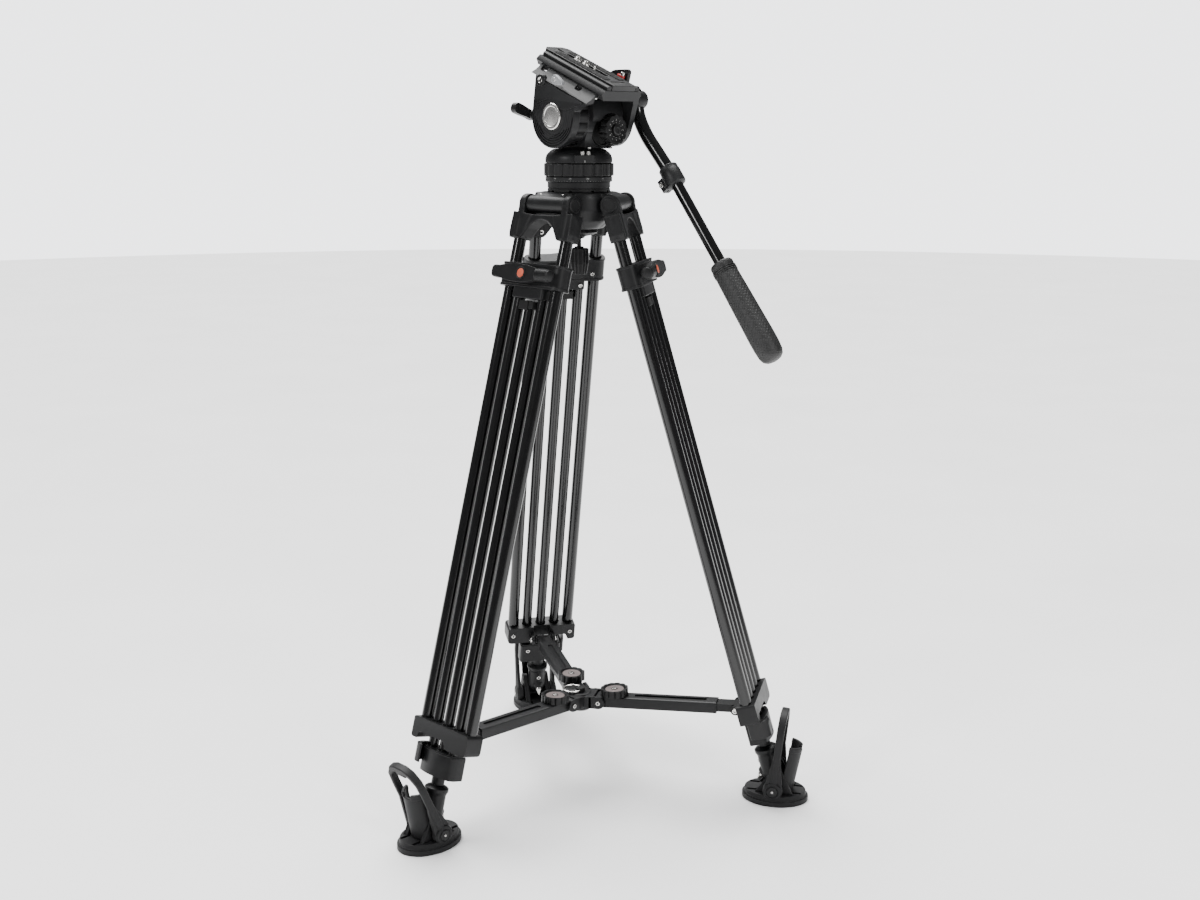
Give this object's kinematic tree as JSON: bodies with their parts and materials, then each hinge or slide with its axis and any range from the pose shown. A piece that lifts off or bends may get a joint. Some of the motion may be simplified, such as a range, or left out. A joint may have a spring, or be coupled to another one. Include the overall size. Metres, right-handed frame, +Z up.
{
  "type": "tripod with fluid head",
  "caption": "Two-stage video tripod with a mid-level spreader, hinged rubber feet and a bowl-mounted fluid pan-and-tilt head with pan bar, sliding camera plate and drag controls.",
  "frame": {"origin": "on the floor under the middle of the part's bounding box", "axes": "+Z up, +X out along leg B; the tripod's own axis stands 66.3 mm from the origin towards -X"},
  "size_m": [0.4992, 0.5636, 0.9835],
  "materials": {
    "casting": "fine-grained satin dark grey coating on die castings",
    "tube": "black anodised, glossy along the tube",
    "head_shell": "fine-grained satin black coating",
    "knob": "matte black moulded plastic",
    "lever": "satin black moulded plastic",
    "release": "satin silver-grey",
    "catch": "red moulded plastic",
    "chrome": "polished",
    "rubber": "dark grey moulded rubber",
    "grip": "black textured rubber",
    "plate": "black anodised plate"
  },
  "bodies": {
    "spider": {"spider": "casting"},
    "half_ball": {"half_ball": "casting"},
    "bowl_clamp": {"bowl_clamp_knob": "knob"},
    "pan_ring": {"pan_drag_ring": "knob"},
    "head_base": {"pan_housing": "head_shell", "tilt_body": "head_shell"},
    "tilt_ring": {"tilt_drag_ring": "knob"},
    "balance_dial": {"balance_knob": "knob"},
    "cradle": {"cradle": "head_shell", "medallion_cap": "chrome"},
    "tilt_lock": {"tilt_lock_lever": "lever"},
    "plate_release": {"plate_release_lever": "release"},
    "plate": {"camera_plate": "plate"},
    "camera_screw": {"camera_screw": "chrome"},
    "plate_lock": {"plate_lock_knob": "knob"},
    "safety_catch": {"safety_catch": "catch"},
    "handle": {"handle_upper_tube": "tube", "handle_lower_tube": "tube", "handle_grip": "grip"},
    "spreader_hub": {"spreader_hub": "casting"},
    "pull_ring": {"spreader_pull_ring": "chrome"},
    "leg_a": {"leg_a_upper_frame": "tube", "leg_a_lower_bracket": "casting"},
    "leg_a_middle": {"leg_a_stage_band": "casting", "leg_a_middle_frame": "tube"},
    "leg_a_lower": {"leg_a_lower_tube": "tube", "leg_a_foot_sleeve": "casting"},
    "leg_a_wing": {"leg_a_wing_lever": "lever"},
    "leg_a_flip": {"leg_a_flip_lever": "lever"},
    "leg_a_foot": {"leg_a_foot_pad": "rubber"},
    "leg_a_bail": {"leg_a_foot_bail": "casting"},
    "arm_a": {"arm_a_channel": "casting"},
    "bar_a": {"arm_a_bar": "casting"},
    "knob_a": {"arm_a_lock_knob": "knob"},
    "leg_b": {"leg_b_upper_frame": "tube", "leg_b_lower_bracket": "casting"},
    "leg_b_middle": {"leg_b_stage_band": "casting", "leg_b_middle_frame": "tube"},
    "leg_b_lower": {"leg_b_lower_tube": "tube", "leg_b_foot_sleeve": "casting"},
    "leg_b_wing": {"leg_b_wing_lever": "lever"},
    "leg_b_flip": {"leg_b_flip_lever": "lever"},
    "leg_b_foot": {"leg_b_foot_pad": "rubber"},
    "leg_b_bail": {"leg_b_foot_bail": "casting"},
    "arm_b": {"arm_b_channel": "casting"},
    "bar_b": {"arm_b_bar": "casting"},
    "knob_b": {"arm_b_lock_knob": "knob"},
    "leg_c": {"leg_c_upper_frame": "tube", "leg_c_lower_bracket": "casting"},
    "leg_c_middle": {"leg_c_stage_band": "casting", "leg_c_middle_frame": "tube"},
    "leg_c_lower": {"leg_c_lower_tube": "tube", "leg_c_foot_sleeve": "casting"},
    "leg_c_wing": {"leg_c_wing_lever": "lever"},
    "leg_c_flip": {"leg_c_flip_lever": "lever"},
    "leg_c_foot": {"leg_c_foot_pad": "rubber"},
    "leg_c_bail": {"leg_c_foot_bail": "casting"},
    "arm_c": {"arm_c_channel": "casting"},
    "bar_c": {"arm_c_bar": "casting"},
    "knob_c": {"arm_c_lock_knob": "knob"}
  },
  "joints": [
    {"name": "bowl_swivel", "type": "hinge", "parent": "spider", "child": "half_ball", "pos_m": [-0.06628, 0.00468, 0], "axis": [0, 0, 1], "continuous": true},
    {"name": "bowl_clamp_turn", "type": "hinge", "parent": "half_ball", "child": "bowl_clamp", "pos_m": [-0.06628, 0.00468, 0], "axis": [0, 0, 1], "continuous": true},
    {"name": "pan", "type": "hinge", "parent": "half_ball", "child": "head_base", "pos_m": [-0.06628, 0.00468, 0], "axis": [0, 0, 1], "continuous": true},
    {"name": "pan_drag", "type": "hinge", "parent": "half_ball", "child": "pan_ring", "pos_m": [-0.06628, 0.00468, 0], "axis": [0, 0, 1], "range_deg": [-150, 150]},
    {"name": "tilt", "type": "hinge", "parent": "head_base", "child": "cradle", "pos_m": [-0.06628, 0.00468, 0.8963], "axis": [-0.5225, -0.8526, 0], "range_deg": [-10, 60]},
    {"name": "tilt_drag", "type": "hinge", "parent": "head_base", "child": "tilt_ring", "pos_m": [-0.06628, 0.00468, 0.8963], "axis": [-0.5225, -0.8526, 0], "range_deg": [-150, 150]},
    {"name": "balance_turn", "type": "hinge", "parent": "head_base", "child": "balance_dial", "pos_m": [-0.02381, -0.00258, 0.8798], "axis": [-0.8526, 0.5225, 0], "range_deg": [-150, 150]},
    {"name": "tilt_lock_turn", "type": "hinge", "parent": "cradle", "child": "tilt_lock", "pos_m": [-0.12039, -0.0079, 0.89814], "axis": [-0.8526, 0.5225, 0], "range_deg": [-40, 40]},
    {"name": "release_turn", "type": "hinge", "parent": "cradle", "child": "plate_release", "pos_m": [-0.08149, -0.04066, 0.94049], "axis": [-0.5225, -0.8526, 0], "range_deg": [-60, 0]},
    {"name": "plate_slide", "type": "slide", "parent": "cradle", "child": "plate", "axis": [-0.7913, 0.4849, 0.3723], "range_m": [-0.035, 0.035]},
    {"name": "camera_screw_turn", "type": "hinge", "parent": "plate", "child": "camera_screw", "pos_m": [-0.08733, 0.01758, 0.9062], "axis": [0.3175, -0.1945, 0.9281], "continuous": true},
    {"name": "plate_lock_turn", "type": "hinge", "parent": "cradle", "child": "plate_lock", "pos_m": [0.00583, -0.0028, 0.92502], "axis": [-0.5225, -0.8526, 0], "range_deg": [0, 180]},
    {"name": "safety_push", "type": "slide", "parent": "cradle", "child": "safety_catch", "axis": [-0.7913, 0.4849, 0.3723], "range_m": [-0.004, 0], "stiffness_N_per_m": 300},
    {"name": "handle_angle", "type": "hinge", "parent": "cradle", "child": "handle", "pos_m": [0.00453, 0.02814, 0.91686], "axis": [-0.5225, -0.8526, 0], "range_deg": [-8, 40]},
    {"name": "hub_lift", "type": "slide", "parent": "spider", "child": "spreader_hub", "axis": [0, 0, 1], "range_m": [0, 0.09751]},
    {"name": "pull_ring_flip", "type": "hinge", "parent": "spreader_hub", "child": "pull_ring", "pos_m": [-0.09008, 0.00468, 0.127], "axis": [0, -1, 0], "range_deg": [0, 90]},
    {"name": "leg_a_fold", "type": "hinge", "parent": "spider", "child": "leg_a", "pos_m": [-0.09183, -0.03957, 0.7882], "axis": [0.866, -0.5, 0], "range_deg": [0, 4.5]},
    {"name": "leg_a_middle_slide", "type": "slide", "parent": "leg_a", "child": "leg_a_middle", "axis": [-0.1378, -0.2387, -0.9613], "range_m": [0, 0.4]},
    {"name": "leg_a_lower_slide", "type": "slide", "parent": "leg_a_middle", "child": "leg_a_lower", "axis": [-0.1378, -0.2387, -0.9613], "range_m": [0, 0.4]},
    {"name": "leg_a_wing_turn", "type": "hinge", "parent": "leg_a_middle", "child": "leg_a_wing", "pos_m": [-0.10459, -0.06168, 0.69919], "axis": [-0.4806, -0.8325, 0.2756], "range_deg": [0, 90]},
    {"name": "leg_a_flip_open", "type": "hinge", "parent": "leg_a_middle", "child": "leg_a_flip", "pos_m": [-0.11949, -0.02028, 0.78737], "axis": [-0.1378, -0.2387, -0.9613], "range_deg": [0, 100]},
    {"name": "leg_a_foot_tilt", "type": "hinge", "parent": "leg_a_lower", "child": "leg_a_foot", "pos_m": [-0.20195, -0.2303, 0.02015], "axis": [0.866, -0.5, 0], "range_deg": [-4, 5]},
    {"name": "leg_a_bail_swing", "type": "hinge", "parent": "leg_a_foot", "child": "leg_a_bail", "pos_m": [-0.20195, -0.2303, 0.02015], "axis": [0.866, -0.5, 0], "range_deg": [-18, 57]},
    {"name": "arm_a_pivot", "type": "hinge", "parent": "spreader_hub", "child": "arm_a", "pos_m": [-0.08078, -0.02043, 0.116], "axis": [0.866, -0.5, 0], "range_deg": [0, 38.94]},
    {"name": "bar_a_slide", "type": "slide", "parent": "arm_a", "child": "bar_a", "axis": [-0.4995, -0.8651, 0.0454], "range_m": [-0.02, 0]},
    {"name": "knob_a_turn", "type": "hinge", "parent": "arm_a", "child": "knob_a", "pos_m": [-0.09077, -0.03774, 0.11691], "axis": [0.0227, 0.0393, 0.999], "continuous": true},
    {"name": "leg_b_fold", "type": "hinge", "parent": "spider", "child": "leg_b", "pos_m": [-0.01518, 0.00468, 0.7882], "axis": [0, 1, 0], "range_deg": [0, 4.5]},
    {"name": "leg_b_middle_slide", "type": "slide", "parent": "leg_b", "child": "leg_b_middle", "axis": [0.2756, 0, -0.9613], "range_m": [0, 0.4]},
    {"name": "leg_b_lower_slide", "type": "slide", "parent": "leg_b_middle", "child": "leg_b_lower", "axis": [0.2756, 0, -0.9613], "range_m": [0, 0.4]},
    {"name": "leg_b_wing_turn", "type": "hinge", "parent": "leg_b_middle", "child": "leg_b_wing", "pos_m": [0.01034, 0.00468, 0.69919], "axis": [0.9613, 0, 0.2756], "range_deg": [0, 90]},
    {"name": "leg_b_flip_open", "type": "hinge", "parent": "leg_b_middle", "child": "leg_b_flip", "pos_m": [-0.01806, -0.02892, 0.78737], "axis": [0.2756, 0, -0.9613], "range_deg": [0, 100]},
    {"name": "leg_b_foot_tilt", "type": "hinge", "parent": "leg_b_lower", "child": "leg_b_foot", "pos_m": [0.20505, 0.00468, 0.02015], "axis": [0, 1, 0], "range_deg": [-4, 5]},
    {"name": "leg_b_bail_swing", "type": "hinge", "parent": "leg_b_foot", "child": "leg_b_bail", "pos_m": [0.20505, 0.00468, 0.02015], "axis": [0, 1, 0], "range_deg": [0, 75]},
    {"name": "arm_b_pivot", "type": "hinge", "parent": "spreader_hub", "child": "arm_b", "pos_m": [-0.03728, 0.00468, 0.116], "axis": [0, 1, 0], "range_deg": [0, 38.94]},
    {"name": "bar_b_slide", "type": "slide", "parent": "arm_b", "child": "bar_b", "axis": [0.999, 0, 0.0454], "range_m": [-0.02, 0]},
    {"name": "knob_b_turn", "type": "hinge", "parent": "arm_b", "child": "knob_b", "pos_m": [-0.0173, 0.00468, 0.11691], "axis": [-0.0454, 0, 0.999], "continuous": true},
    {"name": "leg_c_fold", "type": "hinge", "parent": "spider", "child": "leg_c", "pos_m": [-0.09183, 0.04893, 0.7882], "axis": [-0.866, -0.5, 0], "range_deg": [0, 4.5]},
    {"name": "leg_c_middle_slide", "type": "slide", "parent": "leg_c", "child": "leg_c_middle", "axis": [-0.1378, 0.2387, -0.9613], "range_m": [0, 0.4]},
    {"name": "leg_c_lower_slide", "type": "slide", "parent": "leg_c_middle", "child": "leg_c_lower", "axis": [-0.1378, 0.2387, -0.9613], "range_m": [0, 0.4]},
    {"name": "leg_c_wing_turn", "type": "hinge", "parent": "leg_c_middle", "child": "leg_c_wing", "pos_m": [-0.10459, 0.07104, 0.69919], "axis": [-0.4806, 0.8325, 0.2756], "range_deg": [0, 90]},
    {"name": "leg_c_flip_open", "type": "hinge", "parent": "leg_c_middle", "child": "leg_c_flip", "pos_m": [-0.06129, 0.06324, 0.78737], "axis": [-0.1378, 0.2387, -0.9613], "range_deg": [0, 100]},
    {"name": "leg_c_foot_tilt", "type": "hinge", "parent": "leg_c_lower", "child": "leg_c_foot", "pos_m": [-0.20195, 0.23966, 0.02015], "axis": [-0.866, -0.5, 0], "range_deg": [-4, 5]},
    {"name": "leg_c_bail_swing", "type": "hinge", "parent": "leg_c_foot", "child": "leg_c_bail", "pos_m": [-0.20195, 0.23966, 0.02015], "axis": [-0.866, -0.5, 0], "range_deg": [0, 75]},
    {"name": "arm_c_pivot", "type": "hinge", "parent": "spreader_hub", "child": "arm_c", "pos_m": [-0.08078, 0.02979, 0.116], "axis": [-0.866, -0.5, 0], "range_deg": [0, 38.94]},
    {"name": "bar_c_slide", "type": "slide", "parent": "arm_c", "child": "bar_c", "axis": [-0.4995, 0.8651, 0.0454], "range_m": [-0.02, 0]},
    {"name": "knob_c_turn", "type": "hinge", "parent": "arm_c", "child": "knob_c", "pos_m": [-0.09077, 0.0471, 0.11691], "axis": [0.0227, -0.0393, 0.999], "continuous": true}
  ],
  "couplings": [
    {"joint": "arm_a_pivot", "follows": "leg_a_fold", "ratio": 8.6532},
    {"joint": "bar_a_slide", "follows": "leg_a_fold", "m_per_rad": -0.25465},
    {"joint": "leg_b_fold", "follows": "leg_a_fold", "ratio": 1},
    {"joint": "arm_b_pivot", "follows": "leg_a_fold", "ratio": 8.6532},
    {"joint": "bar_b_slide", "follows": "leg_a_fold", "m_per_rad": -0.25465},
    {"joint": "leg_c_fold", "follows": "leg_a_fold", "ratio": 1},
    {"joint": "arm_c_pivot", "follows": "leg_a_fold", "ratio": 8.6532},
    {"joint": "bar_c_slide", "follows": "leg_a_fold", "m_per_rad": -0.25465},
    {"joint": "hub_lift", "follows": "leg_a_fold", "m_per_rad": 1.2415}
  ]
}
